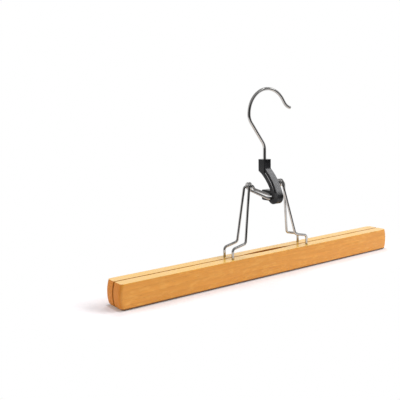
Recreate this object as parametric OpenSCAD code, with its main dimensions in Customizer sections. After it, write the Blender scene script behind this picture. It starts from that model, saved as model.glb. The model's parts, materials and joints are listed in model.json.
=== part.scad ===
// Wooden trouser hanger: two jaws on two bent wire frames, closed by a lever that carries the hook.
// X runs along the jaws, Y from front to back and Z up. The origin is on the floor, under the slit's middle.

/* [Jaws] */
// Length of a jaw over its rounded ends
jaw_l = 354; // [260:1:420]
// Height of a jaw
jaw_h = 23.5; // [22:0.5:30]
// Thickness of a jaw
jaw_t = 12.4; // [10:0.1:16]
// Slit left between the closed jaws
slit = 0.6; // [0.4:0.1:1.5]
// How far the middle of each end stands proud of its corners
end_bulge = 2; // [1:0.1:3]
// Rounding of the upright edges at the outer face
upright_r = 3.5; // [1:0.5:4]
// Rounding of the ends' lower corners
end_corner_r = 4; // [2:0.5:6]
// Rounding of the outer lower edge
lower_edge_r = 2.5; // [0.5:0.1:3]
// Rounding of the outer upper edge
upper_edge_r = 0.5; // [0.2:0.1:1]
// Length of the shallow hollow in the middle of the gripping face
relief_l = 62; // [40:1:80]
// Depth of that hollow
relief_depth = 1.1; // [0.5:0.1:2]

/* [Wire frames] */
// Thickness of the frame wire
wire_d = 2.6; // [2.4:0.1:2.8]
// Distance between the two feet of a frame
feet_span = 100; // [90:1:120]
// Depth of the hole that a foot is pressed into
foot_depth = 14; // [10:0.5:18]
// Height of the bend above a foot
foot_bend_z = 33.2; // [32:0.1:38]
// Distance between the lower ends of the two legs
legs_span = 67.6; // [60:0.1:76]
// Height of the bend below a leg
leg_bend_z = 36.6; // [35:0.1:42]
// Radius of the wire's bends, along its middle
bend_r = 3.4; // [2.8:0.1:4]

/* [Hinge] */
// Height of the hinge line above the floor
hinge_z = 91; // [90:0.5:92]
// How far the hinge line lies behind the slit
hinge_y = 3.2; // [3:0.1:3.4]
// Distance between the outer ends of the two hinge runs
hinge_span = 53.4; // [53:0.2:56]
// Play between a hinge run and the coil round it
hinge_play = 0.08; // [0.05:0.01:0.1]
// How far each front leg's coil starts inside the back leg
coil_inset = 3.8; // [3.8:0.1:4.2]

/* [Lever] */
// Side of the square block
block_w = 9.2; // [8:0.1:11]
// Height of the block's top above the floor
block_top = 116.5; // [115:0.5:120]
// Width of the curved arm and of the hub
arm_w = 7.4; // [6.5:0.1:8]
// Thickness of the curved arm
arm_t = 8; // [7:0.1:8.5]
// Outer radius of the arm's curve
arm_r = 60; // [58:1:64]
// Radius of the hub's round front
hub_r = 7.3; // [7:0.1:8]
// How far the hub reaches behind the pivot
hub_back = 13; // [12:0.5:15]
// How far the lever swings down
lever_swing = 90; // [80:5:90]
// How far the front jaw opens
jaw_swing = 15; // [12:1:16]

/* [Hook] */
// Thickness of the hook wire
hook_d = 3.2; // [2.8:0.1:3.6]
// Radius of the hook's arch, along its middle
arch_r = 24.5; // [20:0.5:28]
// Play round the hook's shank in the block
shank_play = 0.08; // [0.05:0.01:0.1]

/* [Hidden] */
$fn = 48;

wire_r = wire_d / 2;
// Gap between two stretches of wire, closed by a ball
joint_gap = 0.01;
// Clearance round a foot in its drilled hole
press_clear = 0.01;
// Middle of a jaw's thickness, and so of its feet, from the middle of the slit
jaw_mid = (slit + jaw_t) / 2;
foot_x = feet_span / 2;
leg_x = legs_span / 2;

// Radius of a rounded end from its chord and its bulge
end_r = (pow(jaw_h / 2, 2) + pow(end_bulge, 2)) / (2 * end_bulge);
end_centre_x = jaw_l / 2 - end_r;
relief_r = (pow(relief_l / 2, 2) + pow(relief_depth, 2)) / (2 * relief_depth);

// Centre and outer tangent point of the lower corner's rounding, seen from the front
corner_x = end_centre_x + sqrt(pow(end_r - end_corner_r, 2) - pow(jaw_h / 2 - end_corner_r, 2));
corner_out = [corner_x - end_centre_x, end_corner_r - jaw_h / 2] / (end_r - end_corner_r);
corner_tip = [end_centre_x, jaw_h / 2] + end_r * corner_out;

// The coil: half turns in planes that tilt by turns, so that it climbs inwards as a helix does
coil_r = wire_r + hinge_play + wire_r;
half_climb = wire_r + 0.06;
half_turn_r = norm([coil_r, half_climb / 2]);
coil_x = -hinge_span / 2 + coil_inset;
coil_turns = [[0, 180], [1, 180], [2, 180], [3, 15]];
coil_end_x = coil_x + 3 * half_climb;
// Straight stretches before and after the coil, the back wire's drop from the hinge line to its arm, and how
// far past the coil that drop starts
coil_lead = 2.5;
coil_tail = 3.2;
arm_drop = [0.9, -0.5, -3.4];
run_past = 2.1;
// Bends at the top of a front leg, the hinge run's outer end, an arm's outer end and an arm's inner end
leg_top_r = 8;
outer_bend_r = 2.6;
arm_bend_r = 2.4;
bar_bend_r = 2.8;
front_bar_bend_r = 4.4;

// Side view, as depth and height: the back frame's middle bar, which is the lever's pivot, and the front
// frame's bar below it
pivot_ahead = 13;
pivot_below = 8.7;
pivot = [hinge_y - pivot_ahead, hinge_z - pivot_below];
bar_ahead = 0.5;
bar_below = 3.7;
front_bar = pivot - [bar_ahead, bar_below];
// Corners at the ends of the middle bars, clear of the hub. The front frame's are wider, so that its arms
// pass round the back frame's as the jaws open.
bar_corner_x = arm_w / 2 + 2;
front_corner_x = bar_corner_x + 1.3;

// The hub: its round front, its top and bottom faces, and the rounding of its two back edges
hub_ahead = 3.2;
hub_below = 2;
hub_c = pivot - [hub_ahead, hub_below];
hub_rise = 3.9;
hub_drop = 6.5;
hub_top = pivot.y + hub_rise;
hub_low = pivot.y - hub_drop;
hub_back_r = [2, 1.5];
// The block: its middle, its lower end on the arm, where it gets square all round, and its edges' rounding
block_behind = 12.7;
block_h = 13.5;
block_square_h = 9;
block_y = pivot.x + block_behind;
block_low = block_top - block_h;
block_square = block_top - block_square_h;
block_edge_r = 0.8;
// Centre of the arm's two curves. The outer one runs on from the hub's round front, and passes a little
// ahead of the block where that gets square.
arm_ahead = 0.5;
arm_start = [block_y - block_w / 2 - arm_ahead, block_square];
arm_c = behind_both(hub_c, arm_r - hub_r, arm_start, arm_r);
// The groove along each side of the arm: how far inside the outer curve it runs, its depth and lower end
groove_from = 2.6;
groove_to = 5;
groove_depth = 0.9;
groove_low = hub_c.y + 3;

// The point behind both a and b, ra from the one and rb from the other
function behind_both(a, ra, b, rb) =
    let (across = b - a,
         along = (ra * ra - rb * rb + across * across) / 2 / norm(across),
         unit = across / norm(across))
    a + along * unit + sqrt(ra * ra - along * along) * [unit.y, -unit.x];

// Where the front bar lies, seen from the pivot in the lever, once the lever has swung back by a
function turn2(v, a) = [v.x * cos(a) - v.y * sin(a), v.x * sin(a) + v.y * cos(a)];
function bar_in_lever(a) =
    let (hinge = [hinge_y, hinge_z],
         bar = hinge + turn2(front_bar - hinge, -a * jaw_swing / lever_swing))
    turn2(bar - pivot, a);
bar_path = [for (a = [0 : lever_swing / 12 : lever_swing]) bar_in_lever(a)];
path_x = [for (q = bar_path) q.x];
path_y = [for (q = bar_path) q.y];
// Play of the bars in the lever, and the slot's sides and ends round the front bar's path
bar_play = 0.08;
slot_left = min(path_x) - wire_r - bar_play;
slot_right = max(path_x) + wire_r + bar_play;
slot_low = min(path_y);
slot_high = max(path_y);
slot_end_r = (slot_right - slot_left) / 2 + 0.02;
// The mouth that the bars are snapped in through from behind, narrower than a bar at its throat
throat_h = wire_d - 0.5;
throat_back = pivot.x + 3;
mouth_h = 4.4;
mouth_back = pivot.x + hub_back;
mouth_z = (pivot.y + front_bar.y) / 2;

// The hook from the shank upwards: a bend that leans it over, a rise, a heel, the arch and a flared tip
shank_bend_r = 12;
shank_bend_z = block_top + 9.8;
lean = 37;
rise_l = 24.4;
heel_r = 14;
arch_end = 35;
tip_l = 4;
tip_r = 13;
tip_angle = 45;
// The shank's upset head, held in a pocket of the block
head_d = 5;
head_h = 1.6;
head_z = block_top - 8.5;
head_play = 0.05;
rise_start = [-shank_bend_r * (1 - cos(lean)), shank_bend_z + shank_bend_r * sin(lean)];
rise_end = rise_start + rise_l * [-sin(lean), cos(lean)];
heel_c = rise_end + heel_r * [cos(lean), sin(lean)];
arch_c = heel_c + [arch_r - heel_r, 0];
arch_out = arch_c + arch_r * [cos(arch_end), sin(arch_end)];
tip_start = arch_out + tip_l * [sin(arch_end), -cos(arch_end)];
tip_c = tip_start + tip_r * [cos(arch_end), sin(arch_end)];

function unit(v) = v / norm(v);

// Puts a shape drawn on local axes x and y, at an origin, into place
module place(origin, x, y) {
    z = cross(x, y);
    multmatrix([[x.x, y.x, z.x, origin.x],
                [x.y, y.y, z.y, origin.y],
                [x.z, y.z, z.z, origin.z],
                [0, 0, 0, 1]])
        children();
}

// Straight wire from a to b
module rod(a, b, d) {
    v = b - a;
    translate(a)
        rotate([0, acos(v.z / norm(v)), atan2(v.y, v.x)])
            cylinder(h = norm(v), d = d);
}

// Bent wire that starts at radius r along local x and turns towards local y. A ball closes the hair's gap
// to the next stretch at each end that is named in balls.
module bend(origin, x, y, r, angle, d, balls = [0, 1]) {
    trim = joint_gap / r * 180 / PI;
    place(origin, x, y) {
        rotate([0, 0, trim])
            rotate_extrude(angle = angle - 2 * trim)
                translate([r, 0])
                    circle(d = d);
        for (end = balls)
            rotate([0, 0, end * angle])
                translate([r, 0, 0])
                    sphere(d = d + joint_gap);
    }
}

// Turning angle, and the length that a bend of radius r takes off each side of corner i of a line of points
function turning(p, i) = acos(unit(p[i] - p[i - 1]) * unit(p[i + 1] - p[i]));
function taken(p, r, i) = (i == 0 || i == len(p) - 1) ? 0 : r[i] * tan(turning(p, i) / 2);

// Wire along points p, with a bend of radius r[i] at each inner one, up to but without its last stretch
module wire(p, r, d) {
    for (i = [0 : len(p) - 3]) {
        along = unit(p[i + 1] - p[i]);
        rod(p[i] + along * taken(p, r, i), p[i + 1] - along * taken(p, r, i + 1), d);
    }
    for (i = [1 : len(p) - 2]) {
        before = unit(p[i] - p[i - 1]);
        after = unit(p[i + 1] - p[i]);
        middle = p[i] + unit(after - before) * r[i] / cos(turning(p, i) / 2);
        start = p[i] - before * taken(p, r, i);
        bend(middle, unit(start - middle), before, r[i], turning(p, i), d);
    }
}

module both_sides() {
    children();
    mirror([1, 0, 0]) children();
}

// Square with corners rounded by r = [lower left, lower right, upper right, upper left]
module rounded_rect(w, h, r) {
    spots = [[0, 0], [w, 0], [w, h], [0, h]];
    inward = [[1, 1], [-1, 1], [-1, -1], [1, -1]];
    difference() {
        square([w, h]);
        for (i = [0 : 3])
            if (r[i] > 0)
                translate(spots[i])
                    scale([inward[i].x, inward[i].y])
                        difference() {
                            translate([-1, -1]) square(r[i] + 1);
                            translate([r[i], r[i]]) circle(r[i]);
                        }
    }
}

// A jaw in front of the slit, its gripping face towards +Y
module jaw() {
    difference() {
        intersection() {
            union() {
                translate([-end_centre_x, -jaw_t, 0])
                    cube([2 * end_centre_x, jaw_t, jaw_h]);
                both_sides()
                    intersection() {
                        translate([end_centre_x, 0, jaw_h / 2])
                            rotate([90, 0, 0])
                                rotate_extrude($fn = 160)
                                    rounded_rect(end_r, jaw_t, [0, 0, upright_r, 0]);
                        translate([end_centre_x, -jaw_t, 0])
                            cube([end_r, jaw_t, jaw_h]);
                    }
            }
            translate([-jaw_l / 2, 0, 0])
                rotate([90, 0, 90])
                    linear_extrude(jaw_l)
                        translate([-jaw_t, 0])
                            rounded_rect(jaw_t, jaw_h, [lower_edge_r, 0, 0, upper_edge_r]);
        }
        both_sides() end_corner_cut();
        both_sides()
            translate([foot_x, -jaw_t / 2, jaw_h - foot_depth])
                cylinder(h = foot_depth + 1, r = wire_r + press_clear);
        translate([0, relief_r - relief_depth, -1])
            cylinder(h = jaw_h + 2, r = relief_r, $fn = 720);
    }
}

// What the rounding of an end's lower corner takes away
module end_corner_cut() {
    translate([0, 1, 0])
        rotate([90, 0, 0])
            linear_extrude(jaw_t + 2)
                difference() {
                    polygon([[corner_x, end_corner_r], [corner_x, -1], [jaw_l / 2 + 1, -1],
                             [jaw_l / 2 + 1, corner_tip.y], corner_tip]);
                    translate([corner_x, end_corner_r]) circle(end_corner_r);
                }
}

module front_jaw() {
    color("burlywood")
        translate([0, -slit / 2, 0])
            jaw();
}

module back_jaw() {
    color("burlywood")
        mirror([0, 1, 0])
            translate([0, -slit / 2, 0])
                jaw();
}

// Points from the end of a foot to the lower end of its leg, for a jaw at depth y
function foot_points(y) = [
    [-foot_x, y, jaw_h - foot_depth],
    [-foot_x, y, foot_bend_z],
    [-leg_x, y, leg_bend_z]];

// Axes and centre of half turn i of the left coil, whose first one climbs over the hinge run from in front
function turn_centre(i) = [coil_x + half_climb * (i + 0.5), hinge_y, hinge_z];
function turn_x(i) = unit([-half_climb / 2, (i % 2 == 0 ? -1 : 1) * coil_r, 0]);
function turn_y(i) = [0, 0, i % 2 == 0 ? 1 : -1];

// The front frame's wire: legs that end in a coil round each hinge run, then arms to the lower middle bar
module front_frame() {
    coil_in = [coil_x, hinge_y - coil_r, hinge_z];
    last = coil_turns[len(coil_turns) - 1];
    out_x = turn_x(last[0]);
    out_y = turn_y(last[0]);
    coil_out = turn_centre(last[0]) + half_turn_r * (out_x * cos(last[1]) + out_y * sin(last[1]));
    leaving = -out_x * sin(last[1]) + out_y * cos(last[1]);
    corner = coil_out + leaving * coil_tail;
    bar = [0, front_bar.x, front_bar.y];
    leg = concat(foot_points(-jaw_mid), [coil_in - [0, 0, coil_lead], coil_in]);
    leg_r = [0, bend_r, bend_r, leg_top_r, 0];
    arm = [coil_out, corner, bar - [front_corner_x, 0, 0], bar];
    arm_bends = [0, arm_bend_r, front_bar_bend_r, 0];
    bar_l = front_corner_x - taken(arm, arm_bends, 2);
    color("silver") {
        both_sides() {
            wire(leg, leg_r, wire_d);
            rod(leg[3] + [0, 0, taken(leg, leg_r, 3)], leg[4], wire_d);
            for (t = coil_turns)
                bend(turn_centre(t[0]), turn_x(t[0]), turn_y(t[0]), half_turn_r, t[1], wire_d,
                     t == last ? [0, 1] : [0]);
            wire(arm, arm_bends, wire_d);
        }
        rod(bar - [bar_l, 0, 0], bar + [bar_l, 0, 0], wire_d);
    }
}

// The back frame's wire: legs, hinge runs inside the front frame's coils, arms and the upper middle bar
module back_frame() {
    run_end = [coil_end_x + wire_r + run_past, hinge_y, hinge_z];
    bar = [0, pivot.x, pivot.y];
    points = concat(foot_points(jaw_mid), [
        [-hinge_span / 2, hinge_y, hinge_z],
        run_end,
        run_end + arm_drop,
        bar - [bar_corner_x, 0, 0],
        bar]);
    bends = [0, bend_r, bend_r, outer_bend_r, arm_bend_r, arm_bend_r, bar_bend_r, 0];
    bar_l = bar_corner_x - taken(points, bends, 6);
    color("silver") {
        both_sides() wire(points, bends, wire_d);
        rod(bar - [bar_l, 0, 0], bar + [bar_l, 0, 0], wire_d);
    }
}

// Side view of the lever's curved arm, between two radii about its centre
module arm_band(r_in, r_out) {
    from = atan2(hub_c.y - arm_c.y, hub_c.x - arm_c.x);
    to = atan2(block_square + 1 - arm_c.y, block_y - arm_c.x);
    intersection() {
        translate(arm_c)
            difference() {
                circle(r_out, $fn = 240);
                circle(r_in, $fn = 240);
            }
        translate(arm_c)
            polygon([[0, 0], 2 * r_out * [cos(from), sin(from)], 2 * r_out * [cos(to), sin(to)]]);
    }
}

// The hole for both middle bars: the pivot bore, the slot for the front bar and the mouth behind them
module bar_opening() {
    translate(pivot) {
        circle(wire_r + bar_play);
        translate([slot_left, slot_low]) square([slot_right - slot_left, slot_high - slot_low]);
        for (y = [slot_low, slot_high])
            translate([(slot_left + slot_right) / 2, y]) circle(slot_end_r);
        translate([-throat_h / 2, slot_high]) square([throat_h, -slot_high]);
    }
    translate([0, mouth_z])
        for (side = [1, -1])
            scale([1, side])
                polygon([[pivot.x, -0.1], [mouth_back + 1, -0.1], [mouth_back + 1, mouth_h / 2],
                         [throat_back, throat_h / 2], [pivot.x, throat_h / 2]]);
}

module lever() {
    color([0.08, 0.08, 0.09])
        difference() {
            union() {
                translate([-arm_w / 2, 0, 0])
                    rotate([90, 0, 90])
                        linear_extrude(arm_w)
                            difference() {
                                union() {
                                    arm_band(arm_r - arm_t, arm_r);
                                    translate(hub_c) circle(hub_r, $fn = 96);
                                    translate([hub_c.x, hub_low])
                                        rounded_rect(mouth_back - hub_c.x, hub_top - hub_low,
                                                     [0, hub_back_r[0], hub_back_r[1], 0]);
                                }
                                bar_opening();
                            }
                translate([-block_w / 2, block_y - block_w / 2, 0])
                    block();
            }
            both_sides() arm_groove();
            translate([0, block_y, 0]) shank_hole();
        }
}

// The square block, cut off below along the arm's outer curve
module block() {
    intersection() {
        translate([0, 0, block_low])
            linear_extrude(block_top - block_low)
                rounded_rect(block_w, block_w, [for (i = [0 : 3]) block_edge_r]);
        translate([0, -(block_y - block_w / 2), 0])
            rotate([90, 0, 90])
                linear_extrude(block_w) {
                    intersection() {
                        translate(arm_c) circle(arm_r, $fn = 240);
                        translate([block_y - block_w, block_low - 1])
                            square([2 * block_w, block_top - block_low]);
                    }
                    translate([block_y - block_w, block_square])
                        square([2 * block_w, block_top + 1 - block_square]);
                }
    }
}

// Groove along one side of the arm
module arm_groove() {
    translate([arm_w / 2 - groove_depth, 0, 0])
        rotate([90, 0, 90])
            linear_extrude(groove_depth + 1)
                intersection() {
                    arm_band(arm_r - groove_to, arm_r - groove_from);
                    translate([hub_c.x - arm_r, groove_low])
                        square([2 * arm_r, block_low - groove_low]);
                }
}

// Bore for the shank with the pocket for its head
module shank_hole() {
    translate([0, 0, head_z])
        cylinder(h = block_top - head_z + 1, r = hook_d / 2 + shank_play);
    translate([0, 0, head_z - head_play])
        cylinder(h = head_h + 2 * head_play, r = head_d / 2 + shank_play);
}

// Arc of hook wire in the plane of the hook, from one angle to another about a centre
module hook_arc(c, r, from, angle, balls) {
    bend([c.x, block_y, c.y],
         [cos(from), 0, sin(from)],
         [-sin(from), 0, cos(from)], r, angle, hook_d, balls);
}

// Straight hook wire in that plane
module hook_rod(from, to) {
    rod([from.x, block_y, from.y], [to.x, block_y, to.y], hook_d);
}

module hook() {
    color("silver") {
        translate([0, block_y, head_z])
            cylinder(h = head_h, d = head_d);
        translate([0, block_y, head_z])
            cylinder(h = shank_bend_z - head_z, d = hook_d);
        hook_arc([-shank_bend_r, shank_bend_z], shank_bend_r, 0, lean, [0, 1]);
        hook_rod(rise_start, rise_end);
        hook_arc(heel_c, heel_r, 180, lean, [0, 1]);
        hook_arc(arch_c, arch_r, arch_end, 180 - arch_end, [0]);
        hook_rod(arch_out, tip_start);
        hook_arc(tip_c, tip_r, 180 + arch_end, tip_angle, [0]);
    }
}

front_jaw();
back_jaw();
front_frame();
back_frame();
lever();
hook();
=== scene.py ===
import json
import math

import bmesh
import bpy
from mathutils import Matrix, Vector


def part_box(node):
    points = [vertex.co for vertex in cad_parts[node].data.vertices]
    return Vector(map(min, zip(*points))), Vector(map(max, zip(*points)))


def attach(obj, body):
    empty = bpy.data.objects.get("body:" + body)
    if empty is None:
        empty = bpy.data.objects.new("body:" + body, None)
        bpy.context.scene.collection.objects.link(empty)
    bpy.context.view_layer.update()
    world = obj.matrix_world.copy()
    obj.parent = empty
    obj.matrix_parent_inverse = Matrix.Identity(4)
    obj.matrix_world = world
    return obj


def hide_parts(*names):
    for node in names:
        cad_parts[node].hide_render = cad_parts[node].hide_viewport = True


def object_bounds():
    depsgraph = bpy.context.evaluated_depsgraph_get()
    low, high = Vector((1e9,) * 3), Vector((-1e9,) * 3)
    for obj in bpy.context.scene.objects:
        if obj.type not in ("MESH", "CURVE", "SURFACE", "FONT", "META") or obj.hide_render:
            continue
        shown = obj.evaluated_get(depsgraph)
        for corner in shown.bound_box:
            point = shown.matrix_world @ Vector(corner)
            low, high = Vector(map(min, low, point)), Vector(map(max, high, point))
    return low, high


# Trouser hanger: two wooden jaws on bent wire frames, and a black lever with a swivelling wire hook.
# Metres throughout; X runs along the jaws, Y from front to back, Z up.
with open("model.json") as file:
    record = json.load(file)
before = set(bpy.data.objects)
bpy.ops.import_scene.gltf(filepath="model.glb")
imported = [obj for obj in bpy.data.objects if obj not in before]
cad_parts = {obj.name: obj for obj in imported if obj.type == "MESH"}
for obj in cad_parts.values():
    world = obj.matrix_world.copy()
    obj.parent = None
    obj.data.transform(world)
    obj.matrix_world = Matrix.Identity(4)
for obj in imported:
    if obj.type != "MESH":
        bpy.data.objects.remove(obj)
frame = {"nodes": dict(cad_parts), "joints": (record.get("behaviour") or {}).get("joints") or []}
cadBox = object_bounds()
mm = 0.001
joints = {joint["name"]: joint for joint in frame["joints"]}
hingeLine = Vector(joints["jaw_hinge"]["pos_m"])
leverPivot = Vector(joints["lever_pivot"]["pos_m"])
shankLine = Vector(joints["hook_swivel"]["pos_m"])
print("frame loaded:", ", ".join(sorted(frame["nodes"])))


def addNode(tree, kind, place=(0, 0), **settings):
    node = tree.nodes.new(kind)
    node.location = place
    for name, value in settings.items():
        setattr(node, name, value)
    return node


def give(tree, socket, value):
    # Links a socket to an output, or sets it to a plain value
    if hasattr(value, "is_linked"):
        tree.links.new(value, socket)
    else:
        socket.default_value = value


def wired(tree, kind, given, **settings):
    # Adds a node with these inputs, linked or set, and returns its outputs
    node = addNode(tree, kind, **settings)
    for label, value in given.items():
        give(tree, node.inputs[label], value)
    return node.outputs


def mathNode(tree, operation, first, second=None, clamp=False):
    node = addNode(tree, "ShaderNodeMath", operation=operation, use_clamp=clamp)
    give(tree, node.inputs[0], first)
    if second is not None:
        give(tree, node.inputs[1], second)
    return node.outputs[0]


def times(tree, first, second):
    return mathNode(tree, "MULTIPLY", first, second)


def plus(tree, first, second, clamp=False):
    return mathNode(tree, "ADD", first, second, clamp)


def minus(tree, first, second, clamp=False):
    return mathNode(tree, "SUBTRACT", first, second, clamp)


def larger(tree, first, second):
    return mathNode(tree, "MAXIMUM", first, second)


def within(tree, value, outside, inside, first=0, last=1):
    # The first value on the one side of a range, the last on the other, and a smooth step between
    return wired(tree, "ShaderNodeMapRange", {"Value": value, "From Min": outside, "From Max": inside,
                                              "To Min": first, "To Max": last},
                 interpolation_type="SMOOTHSTEP")[0]


def band(tree, value, rise, fall):
    # 1 in a band that starts over the first pair of values and ends over the second
    return times(tree, within(tree, value, *rise), within(tree, value, fall[1], fall[0]))


def beside(places, fades):
    # A band's rise and fall, each given from a place of its own
    return [[place + distance for distance in fade] for place, fade in zip(places, fades)]


def splitNode(tree, vector):
    return wired(tree, "ShaderNodeSeparateXYZ", {0: vector})


def lengthNode(tree, **parts):
    # Length of the vector that has these parts
    vector = wired(tree, "ShaderNodeCombineXYZ", parts)[0]
    return wired(tree, "ShaderNodeVectorMath", {0: vector}, operation="LENGTH")["Value"]


def rampNode(tree, value, stops):
    # Stops are (position, colour), and a colour of one number is a grey
    node = addNode(tree, "ShaderNodeValToRGB")
    ramp = node.color_ramp
    while len(ramp.elements) < len(stops):
        ramp.elements.new(0.5)
    for element, (position, color) in zip(ramp.elements, stops):
        element.position = position
        element.color = (*color, 1) if isinstance(color, tuple) else (color, color, color, 1)
    tree.links.new(value, node.inputs[0])
    return node.outputs[0]


def mixColor(tree, factor, first, second, blend="MIX"):
    node = addNode(tree, "ShaderNodeMix", data_type="RGBA", blend_type=blend)
    for socket, value in ((node.inputs[0], factor), (node.inputs[6], first), (node.inputs[7], second)):
        give(tree, socket, (*value, 1) if isinstance(value, tuple) else value)
    return node.outputs[2]


def mixValue(tree, factor, first, second):
    return wired(tree, "ShaderNodeMix", {0: factor, 2: first, 3: second}, data_type="FLOAT")[0]


def noiseNode(tree, vector, scale, detail=3.0, roughness=0.5):
    return wired(tree, "ShaderNodeTexNoise", {"Vector": vector, "Scale": scale, "Detail": detail,
                                              "Roughness": roughness})["Fac"]


def stretched(tree, vector, scale, place=(0, 0, 0)):
    return wired(tree, "ShaderNodeMapping", {"Vector": vector, "Scale": scale, "Location": place})[0]


def newGroup(name, inputs, outputs):
    # Inputs are name: default value, and a value of None makes a vector
    tree = bpy.data.node_groups.new(name, "ShaderNodeTree")
    for label, value in inputs.items():
        kind = "NodeSocketVector" if value is None else "NodeSocketFloat"
        socket = tree.interface.new_socket(label, in_out="INPUT", socket_type=kind)
        if value is not None:
            socket.default_value = value
    for label in outputs:
        tree.interface.new_socket(label, in_out="OUTPUT", socket_type="NodeSocketFloat")
    given = addNode(tree, "NodeGroupInput", (-900, 0))
    return tree, given.outputs, addNode(tree, "NodeGroupOutput", (900, 0)).inputs


def placeGroup(tree, group, values):
    return wired(tree, "ShaderNodeGroup", values, node_tree=group)


def makeHandling():
    # Smudges and fine scratches, as a finish gets from use
    tree, given, result = newGroup("handlingMarks", {"Vector": None, "Smudge Scale": 60.0,
                                                     "Scratch Scale": 900.0}, ("Smudge", "Scratch"))
    smudge = noiseNode(tree, given["Vector"], given["Smudge Scale"], detail=4)
    drawnOut = stretched(tree, given["Vector"], (0.12, 1, 1))
    scratch = noiseNode(tree, drawnOut, given["Scratch Scale"], detail=2)
    tree.links.new(rampNode(tree, smudge, [(0.38, 0), (0.68, 1)]), result["Smudge"])
    tree.links.new(rampNode(tree, scratch, [(0.60, 0), (0.74, 1)]), result["Scratch"])
    return tree


def makeWornEdges():
    # Where a convex edge is rubbed, in patches
    tree, given, result = newGroup("wornEdges", {"Vector": None, "Start": 0.52, "Spread": 0.08}, ("Edge",))
    pointiness = addNode(tree, "ShaderNodeNewGeometry").outputs["Pointiness"]
    share = mathNode(tree, "DIVIDE", minus(tree, pointiness, given["Start"]), given["Spread"], clamp=True)
    patches = noiseNode(tree, given["Vector"], 180)
    tree.links.new(times(tree, share, patches), result["Edge"])
    return tree


figure = {          # scales of the wood's patterns, along the board and across it
    "wave": (7, 26, 26),
    "fibre": (16, 900, 900),
    "pore": (220, 2600, 2600),
    "cloud": (14, 60, 60),
    "ray": (120, 420, 420),
}


def makeGrain():
    # Rings round an axis along X, with fibres, pores and rays drawn out along the board
    tree, given, result = newGroup(
        "woodGrain", {"Vector": None, "Ring Width": 2.4 * mm, "Waviness": 5 * mm},
        ("Ring", "Fibre", "Pore", "Cloud", "Fleck", "End", "Side", "Face"))
    place = given["Vector"]

    def pattern(name, detail, roughness):
        return noiseNode(tree, stretched(tree, place, figure[name]), 1, detail, roughness)

    board = splitNode(tree, place)
    shift = times(tree, pattern("wave", 2, 0.45), given["Waviness"])
    radius = plus(tree, lengthNode(tree, Y=board["Y"], Z=board["Z"]), shift)
    turns = mathNode(tree, "FRACT", mathNode(tree, "DIVIDE", radius, given["Ring Width"]))
    masks = {
        "Ring": rampNode(tree, turns, [(0.0, 0.1), (0.62, 0.35), (0.9, 1), (1.0, 0.1)]),
        "Fibre": pattern("fibre", 4, 0.6),
        "Pore": rampNode(tree, pattern("pore", 1, 0.4), [(0.66, 0), (0.72, 1)]),
        "Cloud": pattern("cloud", 3, 0.55),
        "Fleck": rampNode(tree, pattern("ray", 2, 0.5), [(0.52, 0), (0.70, 1)]),
    }
    facing = splitNode(tree, addNode(tree, "ShaderNodeTexCoord").outputs["Normal"])
    for label, axis in (("End", "X"), ("Face", "Y"), ("Side", "Z")):
        masks[label] = rampNode(tree, mathNode(tree, "ABSOLUTE", facing[axis]), [(0.4, 0), (0.85, 1)])
    for label, socket in masks.items():
        tree.links.new(socket, result[label])
    return tree


handling = makeHandling()
wornEdges = makeWornEdges()
grain = makeGrain()


def startMaterial(name):
    material = bpy.data.materials.new(name)
    material.use_nodes = True
    tree = material.node_tree
    shader = tree.nodes["Principled BSDF"]
    place = addNode(tree, "ShaderNodeTexCoord").outputs["Object"]
    return material, tree, shader, place


def addBump(tree, shader, height, strength, distance):
    bump = wired(tree, "ShaderNodeBump", {"Strength": strength, "Distance": distance, "Height": height})[0]
    tree.links.new(bump, shader.inputs["Normal"])


jaw = {
    "endBulge": 2.0 * mm,
    "uprightRound": 3.5 * mm,     # ends of the outer face
    "cornerRound": 4.0 * mm,      # lower corners of the ends
    "lowerRound": 2.5 * mm,       # lower edge of the outer face
    "upperRound": 0.5 * mm,       # upper edge of the outer face
    "innerRound": 0.7 * mm,       # long edges of the gripping face
    "innerEndRound": 1.3 * mm,    # its edges at the ends
    "hollowLength": 62 * mm,
    "hollowDepth": 1.8 * mm,
    "holeGap": 0.18 * mm,         # round a foot, at the mouth of its hole
    "rows": (0.12 * mm, 0.3 * mm, 0.55 * mm, 0.9 * mm, 1.3 * mm, 1.9 * mm, 2.5 * mm),   # near the outer face
    "stations": (45 * mm, 55 * mm, 90 * mm, 130 * mm),      # points along the long edges
    "leastCorner": 0.3 * mm,
    "hollowSteps": 16,
    "endSteps": 14,
    "cornerSteps": 8,
    "outerSteps": 6,
    "innerSteps": (5, 3),         # at the ends, and along the slit
}

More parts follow.
